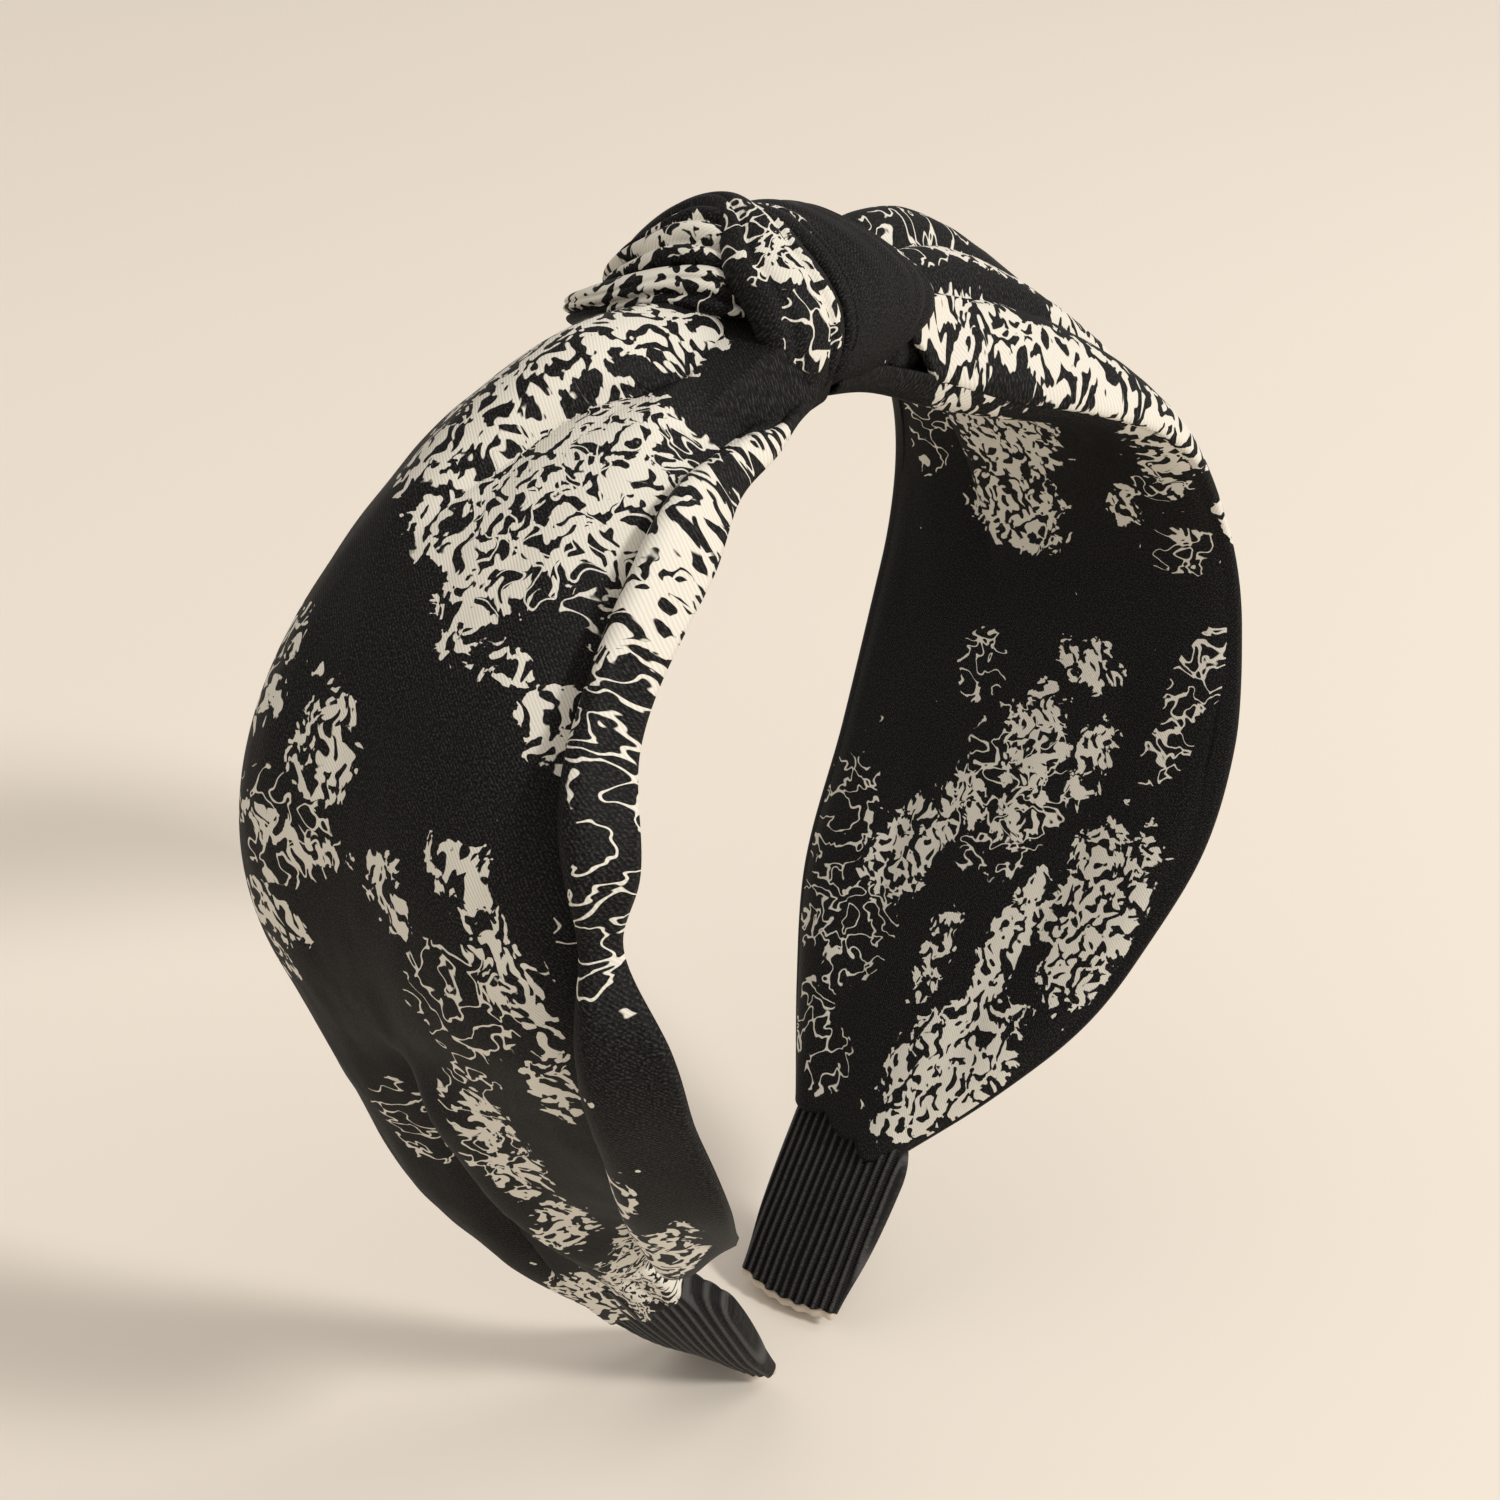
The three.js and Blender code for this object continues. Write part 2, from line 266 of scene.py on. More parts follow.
def ramp(tree, value, low, high, to_low=0.0, to_high=1.0):
    """Value mapped smoothly from low..high to to_low..to_high."""
    return add_node(tree, "MapRange", {"interpolation_type": "SMOOTHSTEP"}, Value=value,
                    From_Min=low, From_Max=high, To_Min=to_low, To_Max=to_high).outputs[0]


def mix_colours(tree, factor, first, second):
    """A mix of two colours. The Mix node's colour sockets are inputs 6 and 7 and output 2."""
    return add_node(tree, "Mix", {"data_type": "RGBA"}, Factor=factor, _6=first, _7=second).outputs[2]


def noise_value(tree, places, scale, **inputs):
    return add_node(tree, "TexNoise", Vector=places, Scale=scale, **inputs).outputs["Fac"]


def centred(tree, value, strength):
    """Noise of 0 to 1 moved to lie about zero, times a strength."""
    return maths(tree, "MULTIPLY", maths(tree, "SUBTRACT", value, 0.5), strength)


def bands(tree, direction, places, scale, **inputs):
    return add_node(tree, "TexWave", {"bands_direction": direction}, Vector=places, Scale=scale,
                    **inputs).outputs["Fac"]


def add_bump(tree, shader, height, strength, distance):
    bump = add_node(tree, "Bump", Height=height, Strength=strength, Distance=distance)
    tree.links.new(bump.outputs[0], shader.inputs["Normal"])


def set_inputs(shader, values):
    for socket, value in values.items():
        shader.inputs[socket].default_value = value


CREAM = (0.72, 0.69, 0.61, 1)
# The cream darkened where painted shade falls between the twill's threads.
CREAM_PAINTED_SHADE = tuple(0.86 * part for part in CREAM[:3]) + (1,)
BLACK = (0.004, 0.004, 0.0042, 1)
BLACK_GLINT = (0.036, 0.0342, 0.033, 1)
# Painted shade in the grooves between the ribbon's cords, and a painted highlight on their crests.
CORD_GROOVE_SHADE = (0.002, 0.002, 0.0022, 1)
CORD_CREST_HIGHLIGHT = (0.055, 0.053, 0.054, 1)
FLOOR_TONES = ((0.80, 0.735, 0.65, 1), (0.83, 0.765, 0.68, 1))
RIB_PITCH = 1.25         # from cord to cord of the ribbon, in millimetres
BAND_WIDTH = 0.314       # width of one band of a wave texture at scale 1


def warped_cloth(tree, cloth):
    """The cloth's own coordinates, pushed about by a slow noise."""
    drift = add_node(tree, "TexNoise", Vector=cloth, Scale=0.25, Detail=1.0, Roughness=0.5)
    about_zero = add_node(tree, "VectorMath", {"operation": "SUBTRACT"},
                          _0=drift.outputs["Color"], _1=(0.5, 0.5, 0.5)).outputs[0]
    push = add_node(tree, "VectorMath", {"operation": "SCALE"}, _0=about_zero, Scale=4.5).outputs[0]
    return add_node(tree, "VectorMath", {"operation": "ADD"}, _0=cloth, _1=push).outputs[0]


def foliage_areas(tree, cloth, warped, mask):
    """The solid sprays of foliage: ragged leafy outlines, with dark flecks inside."""
    leaves = add_node(tree, "TexVoronoi", Vector=warped, Scale=0.5, Randomness=1.0).outputs["Distance"]
    ragged = noise_value(tree, warped, 0.5, Detail=2.4, Roughness=0.6)
    lumps = noise_value(tree, cloth, 0.14, Detail=1.0)
    edge = maths(tree, "ADD", mask, centred(tree, ragged, 1.9))
    edge = maths(tree, "SUBTRACT", edge, maths(tree, "MULTIPLY", leaves, 0.35))
    edge = maths(tree, "ADD", edge, centred(tree, lumps, 0.9))
    solid = ramp(tree, edge, 0.37, 0.41)

    # The flecks are drawn out along a slant.
    slanting = add_node(tree, "Mapping", Vector=warped, Scale=(1.0, 0.62, 1.0), Rotation=(0, 0, 0.5))
    flecks = noise_value(tree, slanting.outputs[0], 1.05, Detail=0.7, Roughness=0.4)
    return maths(tree, "MULTIPLY", solid, maths(tree, "SUBTRACT", 1.0, ramp(tree, flecks, 0.51, 0.54)))


def line_work(tree, cloth, warped, mask):
    """Drawn lines: the contours of a soft noise, which stop raggedly at the mask's rim."""
    contour = noise_value(tree, warped, 0.36, Detail=1.2, Roughness=0.5)
    from_line = maths(tree, "ABSOLUTE", maths(tree, "SUBTRACT", contour, 0.5))
    line = ramp(tree, from_line, 0.016, 0.026, 1.0, 0.0)
    broken = noise_value(tree, cloth, 0.35, Detail=2.0)
    shown = ramp(tree, maths(tree, "ADD", mask, centred(tree, broken, 1.0)), 0.42, 0.48)
    return maths(tree, "MULTIPLY", line, shown)


def printed_satin():
    """Black satin with a cream toile of foliage: solid sprays with dark flecks, and line work."""
    material, tree, shader = new_material("printed_satin")
    cloth = add_node(tree, "UVMap", {"uv_map": "cloth"}).outputs[0]
    foliage, sketch = (add_node(tree, "Attribute", {"attribute_name": mask}).outputs["Fac"]
                       for mask in ("foliage", "sketch"))
    warped = warped_cloth(tree, cloth)
    printed = maths(tree, "MAXIMUM", foliage_areas(tree, cloth, warped, foliage),
                    line_work(tree, cloth, warped, sketch))

    # The twill's fine diagonal lines, with painted shade between the threads of the cream, and threads that
    # catch the light, painted as glints in the black.
    twill = bands(tree, "DIAGONAL", cloth, 1.5, Distortion=1.2)
    glints = noise_value(tree, cloth, 4.5, Detail=2.0, Roughness=0.7)
    sparkle = maths(tree, "MULTIPLY", ramp(tree, glints, 0.42, 0.68), maths(tree, "ADD", twill, 0.35))

    black = mix_colours(tree, sparkle, BLACK, BLACK_GLINT)
    cream = mix_colours(tree, twill, CREAM, CREAM_PAINTED_SHADE)
    tree.links.new(mix_colours(tree, printed, black, cream), shader.inputs["Base Color"])
    tree.links.new(ramp(tree, glints, 0.3, 0.7, 0.46, 0.66), shader.inputs["Roughness"])
    set_inputs(shader, {"Specular IOR Level": 0.07, "Anisotropic": 0.35})
    weave = maths(tree, "ADD", maths(tree, "MULTIPLY", twill, 0.6), maths(tree, "MULTIPLY", glints, 0.7))
    add_bump(tree, shader, weave, 0.35, 0.00012)
    return material


def plain_weave(name, colour, other, pitch, roughness, sheen, bump_distance):
    """A plain woven or moulded finish: two tones of noise and a crossed bump of that pitch."""
    material, tree, shader = new_material(name)
    places = add_node(tree, "TexCoord").outputs["Object"]
    mottle = noise_value(tree, places, 350.0, Detail=4.0)
    tree.links.new(mix_colours(tree, mottle, colour, other), shader.inputs["Base Color"])
    warp, weft = (bands(tree, direction, places, BAND_WIDTH / (pitch * MM), Distortion=0.6)
                  for direction in "XZ")
    add_bump(tree, shader, maths(tree, "MULTIPLY", warp, weft), 0.5, bump_distance)
    tree.links.new(ramp(tree, mottle, 0.3, 0.7, roughness - 0.08, roughness + 0.08),
                   shader.inputs["Roughness"])
    set_inputs(shader, {"Sheen Weight": sheen})
    return material


def grosgrain():
    """Black corded ribbon: fine threads across each cord, painted shade in the grooves between cords, and a
    dull sheen on the cords, partly painted as a lighter colour on their crests.
    """
    material, tree, shader = new_material("grosgrain")
    cloth = add_node(tree, "UVMap", {"uv_map": "cloth"}).outputs[0]
    threads = bands(tree, "Y", cloth, 0.9, Distortion=0.8)
    cords = bands(tree, "X", cloth, BAND_WIDTH / RIB_PITCH, Phase_Offset=np.pi)
    mottle = noise_value(tree, cloth, 2.2, Detail=3.0)
    # Where the cords' crests get their painted highlight, varied at random by the mottle.
    crest_highlight = ramp(tree, maths(tree, "MULTIPLY", cords, maths(tree, "ADD", mottle, 0.4)), 0.4, 1.0)
    tree.links.new(mix_colours(tree, crest_highlight, CORD_GROOVE_SHADE, CORD_CREST_HIGHLIGHT), shader.inputs["Base Color"])
    tree.links.new(ramp(tree, mottle, 0.3, 0.7, 0.5, 0.72), shader.inputs["Roughness"])
    set_inputs(shader, {"Specular IOR Level": 0.15, "Sheen Weight": 0.03})
    add_bump(tree, shader, maths(tree, "ADD", threads, maths(tree, "MULTIPLY", mottle, 0.5)), 0.5, 0.0001)
    return material


def floor_material():
    material, tree, shader = new_material("floor")
    places = add_node(tree, "TexCoord").outputs["Object"]
    mottle = noise_value(tree, places, 3.0, Detail=2.0)
    tree.links.new(mix_colours(tree, mottle, *FLOOR_TONES), shader.inputs["Base Color"])
    set_inputs(shader, {"Roughness": 0.75, "Specular IOR Level": 0.2})
    return material


MATERIALS = {
    "satin": printed_satin(),
    "ribbon": grosgrain(),
    "thread": plain_weave("thread", (0.02, 0.02, 0.022, 1), (0.09, 0.085, 0.08, 1), 0.3, 0.6, 0.2, 0.00004),
    "lining": plain_weave("lining", (0.55, 0.46, 0.36, 1), (0.68, 0.6, 0.5, 1), 0.5, 0.9, 0.2, 0.00008),
    "core": plain_weave("core", (0.012, 0.012, 0.014, 1), (0.02, 0.02, 0.022, 1), 0.8, 0.45, 0.0, 0.00002),
}


def finish_piece(piece, slot, body=None, replaces=()):
    """The piece's material, slot, body and the nodes that it stands for."""
    piece.data.materials.append(MATERIALS[slot])
    if body:
        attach(piece, body)
    if replaces:
        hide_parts(*replaces)


# ---------------------------------------------------------------- camera, light and floor

# The camera's place in millimetres and its axes, as fitted to the hoop's outline in the photo.
CAMERA_AT = (-204.42, -139.30, 235.69)
CAMERA_RIGHT = (0.59527, -0.80318, 0.02361)
CAMERA_UP = (0.38616, 0.31173, 0.86816)
CAMERA_LENS = 57.6
CAMERA_SENSOR = 36

# Each light's azimuth from +X towards +Y and its elevation in degrees, its distance and size in
# metres, its power in watts and its colour.
LIGHTS = {
    "key": (-83, 37, 2.4, 0.36, 34, (1.0, 0.97, 0.93)),
    "front_fill": (-40, 45, 1.6, 0.9, 4, (1.0, 0.97, 0.94)),
}
LIGHTS_LOOK_AT = (0, 0, 0.07)
WORLD_COLOUR = (1.0, 0.945, 0.885, 1)
WORLD_STRENGTH = 0.66
FLOOR_HALF = 4.0


def make_camera():
    data = bpy.data.cameras.new("camera")
    data.lens = CAMERA_LENS
    data.sensor_width = CAMERA_SENSOR
    data.clip_start = 0.01
    camera = bpy.data.objects.new("camera", data)
    right, up = Vector(CAMERA_RIGHT), Vector(CAMERA_UP)
    back = right.cross(up)
    turn = Matrix((right, up, back)).transposed()
    camera.matrix_world = Matrix.Translation(Vector(CAMERA_AT) * MM) @ turn.to_4x4()
    bpy.context.scene.collection.objects.link(camera)
    bpy.context.scene.camera = camera


def make_light(name, azimuth, elevation, distance, size, power, colour):
    """A square soft light that looks at the middle of the band."""
    data = bpy.data.lights.new(name, "AREA")
    data.size = size
    data.energy = power
    data.color = colour
    light = bpy.data.objects.new(name, data)
    a, e = np.radians(azimuth), np.radians(elevation)
    towards = Vector((np.cos(a) * np.cos(e), np.sin(a) * np.cos(e), np.sin(e)))
    light.location = Vector(LIGHTS_LOOK_AT) + towards * distance
    light.rotation_mode = "QUATERNION"
    light.rotation_quaternion = towards.to_track_quat("Z", "Y")
    bpy.context.scene.collection.objects.link(light)


def make_stage():
    for name, settings in LIGHTS.items():
        make_light(name, *settings)
    world = bpy.data.worlds.new("studio")
    world.use_nodes = True
    background = world.node_tree.nodes["Background"]
    set_inputs(background, {"Color": WORLD_COLOUR, "Strength": WORLD_STRENGTH})
    bpy.context.scene.world = world
    corners = FLOOR_HALF * np.array([(-1, -1, 0), (1, -1, 0), (1, 1, 0), (-1, 1, 0)])
    floor = mesh_object("floor", corners, [(0, 1, 2, 3)])
    floor.data.materials.append(floor_material())


make_camera()
make_stage()
bpy.context.scene.view_settings.view_transform = "Standard"

# ---------------------------------------------------------------- sleeves

# Distance along, half width to the front, half width to the back, rise inside.
SLEEVE = [
    (1, 7, 14, 4.6), (14, 7.5, 14.8, 4.8), (22, 10.5, 20.5, 5.2), (30, 13.5, 23, 4.6), (45, 17, 23.5, 4.0),
    (62, 22, 23.5, 3.2), (90, 31, 24.5, 2.8), (120, 32, 23.5, 2.8), (143, 28, 22, 3.4), (158, 20, 17, 4.4),
    (172, 11, 11, 4.0),
]
# How far each outer panel rises out of the hoop's centre line.
OUTER_RISE = {
    "left": [(1, 3.2), (12, 3.8), (18, 6.2), (24, 8.4), (32, 9.2), (45, 8.6), (62, 7.0), (90, 4.8),
             (120, 4.2), (143, 4.2), (158, 4.4), (172, 3.6)],
    "right": [(1, 3.6), (10, 5.0), (18, 7.6), (26, 9.6), (45, 9.8), (60, 8.4), (75, 6.2), (90, 4.8),
              (120, 4.4), (143, 4.6), (158, 4.8), (172, 4.2)],
}
CLOTH = 0.45             # thickness of the satin
EDGE_TURN = 2.4          # how far the outer panel turns in under an edge that is 25 mm out
EDGE_TURN_AT = 25
EDGE_ROUNDING = 0.7      # how fast the turned edge sinks, with the root of its length
INNER_INSET = 0.7        # how far the inner panel stays inside the outer one's edge
EDGE_FADE = 0.12         # share of the half width over which folds fade out towards an edge
CORE_HALF = (5.5, 1.1)   # half width and half thickness of the moulded hoop
CORE_GAP = 3.0           # how far short of the tip the moulded hoop ends
CORE_CLEARANCE = 0.9     # what a panel's face keeps from the moulded hoop
SLEEVE_START = 1.0
SLEEVE_GRID = (250, 120)
BACKING = {"from": 30, "to": 145, "reach": 0.86, "gap": 0.3, "thickness": 0.25}


# A fold is a path of (along, across), its height, its widths to the front and to the back, and
# how sharp it is: below 2 it comes to an edge. Negative heights are valleys.
FOLDS = {
    "left_outer": [
        ([(12, -6), (30, -10.3), (44, -13), (60, -15.6), (80, -22), (98, -21.7), (117, -18.4),
          (137, -13), (172, -4)], -3.8, 1.1, 6.5, 1.1),
        ([(24, -13), (44, -16), (60, -18.5), (80, -25.5), (98, -26), (117, -23.5), (150, -14)],
         1.8, 3.5, 2.6, 2.0),
        ([(12, -9.5), (22, -9.8), (30, -12)], -1.6, 1.0, 2.5, 1.1),
        ([(10, 0), (19, -0.8), (25, -0.8), (30, 1.9), (37, 4.4), (48, 8)], -3.2, 6.0, 1.2, 1.1),
        ([(12, 7), (26, 7), (40, 11), (54, 15)], 1.9, 5.0, 5.0, 2.0),
        ([(12, -3), (24, -4.5), (40, -8)], 1.0, 2.0, 2.5, 2.0),
        ([(106, 6), (122, 6), (140, 5), (160, 3), (178, 2)], -3.0, 3.0, 4.0, 1.5),
        ([(106, 0), (125, -1.5), (145, -3), (176, -3)], 2.6, 4.5, 3.0, 2.0),
        ([(112, 15), (130, 14), (150, 10), (176, 7)], 0.6, 4.0, 5.0, 2.0),
        ([(66, 6), (85, 9), (104, 8)], -1.1, 9.0, 7.0, 2.0),
        ([(134, -1), (150, -3), (178, -4)], -2.0, 0.9, 2.4, 1.2),
        ([(138, 6), (155, 5), (178, 3)], -1.6, 0.9, 2.2, 1.2),
        ([(128, -24), (150, -15), (178, -8)], 1.6, 4.0, 4.0, 2.0),
        ([(146, -20), (160, -13), (178, -8)], -1.6, 1.0, 2.6, 1.2),
    ],
    "right_outer": [
        ([(14, 3), (30, 2), (48, -2), (66, -9), (80, -15)], -3.2, 5.5, 1.3, 1.1),
        ([(14, -3), (30, -6), (48, -11), (66, -18), (80, -23)], -2.6, 4.0, 1.2, 1.1),
        ([(14, 11), (30, 11), (50, 8)], -2.0, 1.4, 5.0, 1.2),
        ([(18, 7), (36, 7), (60, 3)], 0.5, 4.0, 4.0, 2.0),
        ([(75, 6), (100, 4), (130, 4), (160, 1)], -2.2, 8.0, 6.0, 1.6),
        ([(110, -10), (140, -9), (178, -4)], -2.2, 4.0, 2.0, 1.2),
        ([(120, 13), (145, 10), (178, 4)], -2.0, 2.0, 4.0, 1.2),
    ],
    "left_inner": [
        ([(16, 4), (40, 5), (66, 3)], -1.4, 4.0, 2.0, 1.3),
        ([(18, -5), (40, -9), (60, -13)], -1.2, 3.0, 2.0, 1.3),
        ([(100, -12), (130, -11), (176, -4)], -1.0, 5.0, 4.0, 1.6),
        ([(115, 10), (140, 9), (176, 4)], -1.0, 4.0, 4.0, 1.6),
    ],
    "right_inner": [
        ([(30, 13), (45, 14), (62, 14.5), (78, 11), (92, 5)], -2.4, 1.2, 8.0, 1.2),
        ([(22, -3), (45, -6), (66, -10)], -1.2, 2.0, 4.0, 1.3),
        ([(100, -18), (130, -17), (176, -6)], -0.9, 5.0, 4.0, 1.6),
        ([(120, 9), (140, 8), (176, 3)], -0.9, 4.0, 4.0, 1.6),
    ],
}

# Along the hoop: how far each front edge stands out of its plain line, how far the front of the
# sleeve droops towards the head, and how far its back lifts away from the head. Negative values
# of the last go towards it.
EDGE_WAVES = {
    "left": [(1, 0), (17, 2.2), (29, 0), (39, 1.5), (59, -0.5), (70, 0.8), (77, -2.0), (86, 1.5),
             (98, 1.0), (112, 0.4), (120, -1.5), (130, -4.5), (140, -7.4), (150, -9.0), (160, -10.2),
             (172, -4.4)],
    "right": [(1, 0), (30, 0.5), (45, 3.0), (60, 3.0), (75, 0.5), (90, -0.2), (105, 1.8),
              (120, 2.5), (135, 0.5), (150, -0.5), (160, -2.0), (172, -4.2)],
}
EDGE_DROOP = {
    "left": [(1, 5.0), (20, 3.6), (35, 1.4), (60, 0.2), (120, 0.4), (140, 1.4), (155, 1.4), (172, 0.6),
             (186, 0), (199, 0)],
    "right": [(1, 4.0), (20, 7.0), (30, 7.6), (42, 5.6), (56, 2.4), (72, 0.4), (120, 0.0), (199, 0)],
}
BACK_LIFT = {
    "left": [(1, 0), (14, -1.0), (24, -3.6), (40, -3.4), (52, -1.6), (64, 0), (100, 0), (120, 0.6),
             (140, -1.2), (152, -3.6), (164, -4.4), (172, -3.0), (185, -0.5), (199, 0)],
    "right": [(1, 0), (199, 0)],
}

# How much shorter the front of a sleeve is than its back, at the slanted hem.
HEM_SLANT = {"left": 8.0, "right": -3.0}
HEM_LOBE = 1.5           # how far the hem bulges down between its gathers


def slanted(hand, along, place):
    """Distances along the hoop, with the front of the sleeve drawn up from the hem."""
    slant = HEM_SLANT[hand] * smooth_step(along, 125, HEM_AT) * smooth_step(-place, -0.7, 1.0)
    lobes = HEM_LOBE * smooth_step(along, 158, HEM_AT) * np.abs(np.cos(1.5 * np.pi * place))
    return along - slant + lobes


def edge_drift(hand, along, place):
    """How far a sleeve's section is out of its plain place, from the droop and the lift."""
    droop = curve(EDGE_DROOP[hand], along) * smooth_step(-place, -0.2, 1.0)
    return curve(BACK_LIFT[hand], along) * smooth_step(place, 0.1, 1.0) - droop


def clear_of_core(across, out, facing):
    """Heights out that clear the moulded hoop. Past its edges the room falls away steeply."""
    half_width, half_thickness = CORE_HALF
    past_edge = np.maximum(0, np.abs(across) - half_width - 0.6)
    room = half_thickness + CORE_CLEARANCE - 3.0 * past_edge
    return facing * np.maximum(facing * out, room)


def fold_heights(folds, along, across):
    """The summed heights of folds, each fading out at both ends of its path."""
    total = np.zeros_like(along)
    for path, height, front, back, power in folds:
        middle = curve(path, along)
        first, last = path[0][0], path[-1][0]
        fade = smooth_step(along, first - 8, first + 4) * (1 - smooth_step(along, last - 14, last + 4))
        off = across - middle
        width = np.where(off < 0, front, back)
        total = total + height * fade * np.exp(-(np.abs(off) / width) ** power)
    return total


def crown(place):
    """How a sleeve's section rises from its edges, for places from -1 to 1 across it."""
    return np.maximum(0.0, 1 - np.abs(place) ** 4) ** 0.75


def sleeve_section(hand, along, place):
    """Half width, rise outside and inside, and drift of a sleeve at distances and places."""
    front, back, inside = np.moveaxis(curve(SLEEVE, along), -1, 0)
    outside = curve(OUTER_RISE[hand], along)
    front = front + curve(EDGE_WAVES[hand], along)
    return np.where(place < 0, front, back), outside, inside, edge_drift(hand, along, place)


def outer_surface(hand, along, place):
    """Across and out of the outer panel's face. Past its edges it turns in under them."""
    flat = np.clip(place, -1, 1)
    past = np.abs(place) - np.abs(flat)
    width, outside, _, drift = sleeve_section(hand, along, flat)
    across = flat * width
    edge = smooth_step(1 - np.abs(flat), 0.0, EDGE_FADE)
    out = outside * crown(flat) + fold_heights(FOLDS[hand + "_outer"], along, across) * edge
    out = out + 0.35 * edge * rumple(along, across, 16, 5, SIDES[hand])
    out = out + 0.12 * edge * rumple(along, across, 5, 2.2, 7 + SIDES[hand])
    turn = past * width
    out = clear_of_core(across, out + drift, 1) - np.sqrt(np.maximum(turn, 0)) * EDGE_ROUNDING
    return across - np.sign(place) * turn * 0.9, out


def inner_surface(hand, along, place):
    """Across and out of the inner panel's face, which ends just inside the outer one's edge."""
    width, _, inside, drift = sleeve_section(hand, along, place)
    across = place * (width - INNER_INSET)
    edge = smooth_step(1 - np.abs(place), 0.0, EDGE_FADE)
    depth = inside * crown(place) - 0.25 * (1 - edge)
    depth = depth + fold_heights(FOLDS[hand + "_inner"], along, across) * edge
    depth = depth + 0.25 * edge * rumple(along, across, 14, 5, 20 + SIDES[hand])
    return across, clear_of_core(across, drift - depth, -1)


def panel_grid(reach):
    """Distances along a sleeve and places across it, which lie closer together at its edges."""
    rows, columns = SLEEVE_GRID
    along = np.linspace(SLEEVE_START, HEM_AT, rows)
    t = np.linspace(-1, 1, columns)
    place = reach * (0.75 * t + 0.25 * np.sin(t * np.pi / 2))
    return np.meshgrid(along, place, indexing="ij")
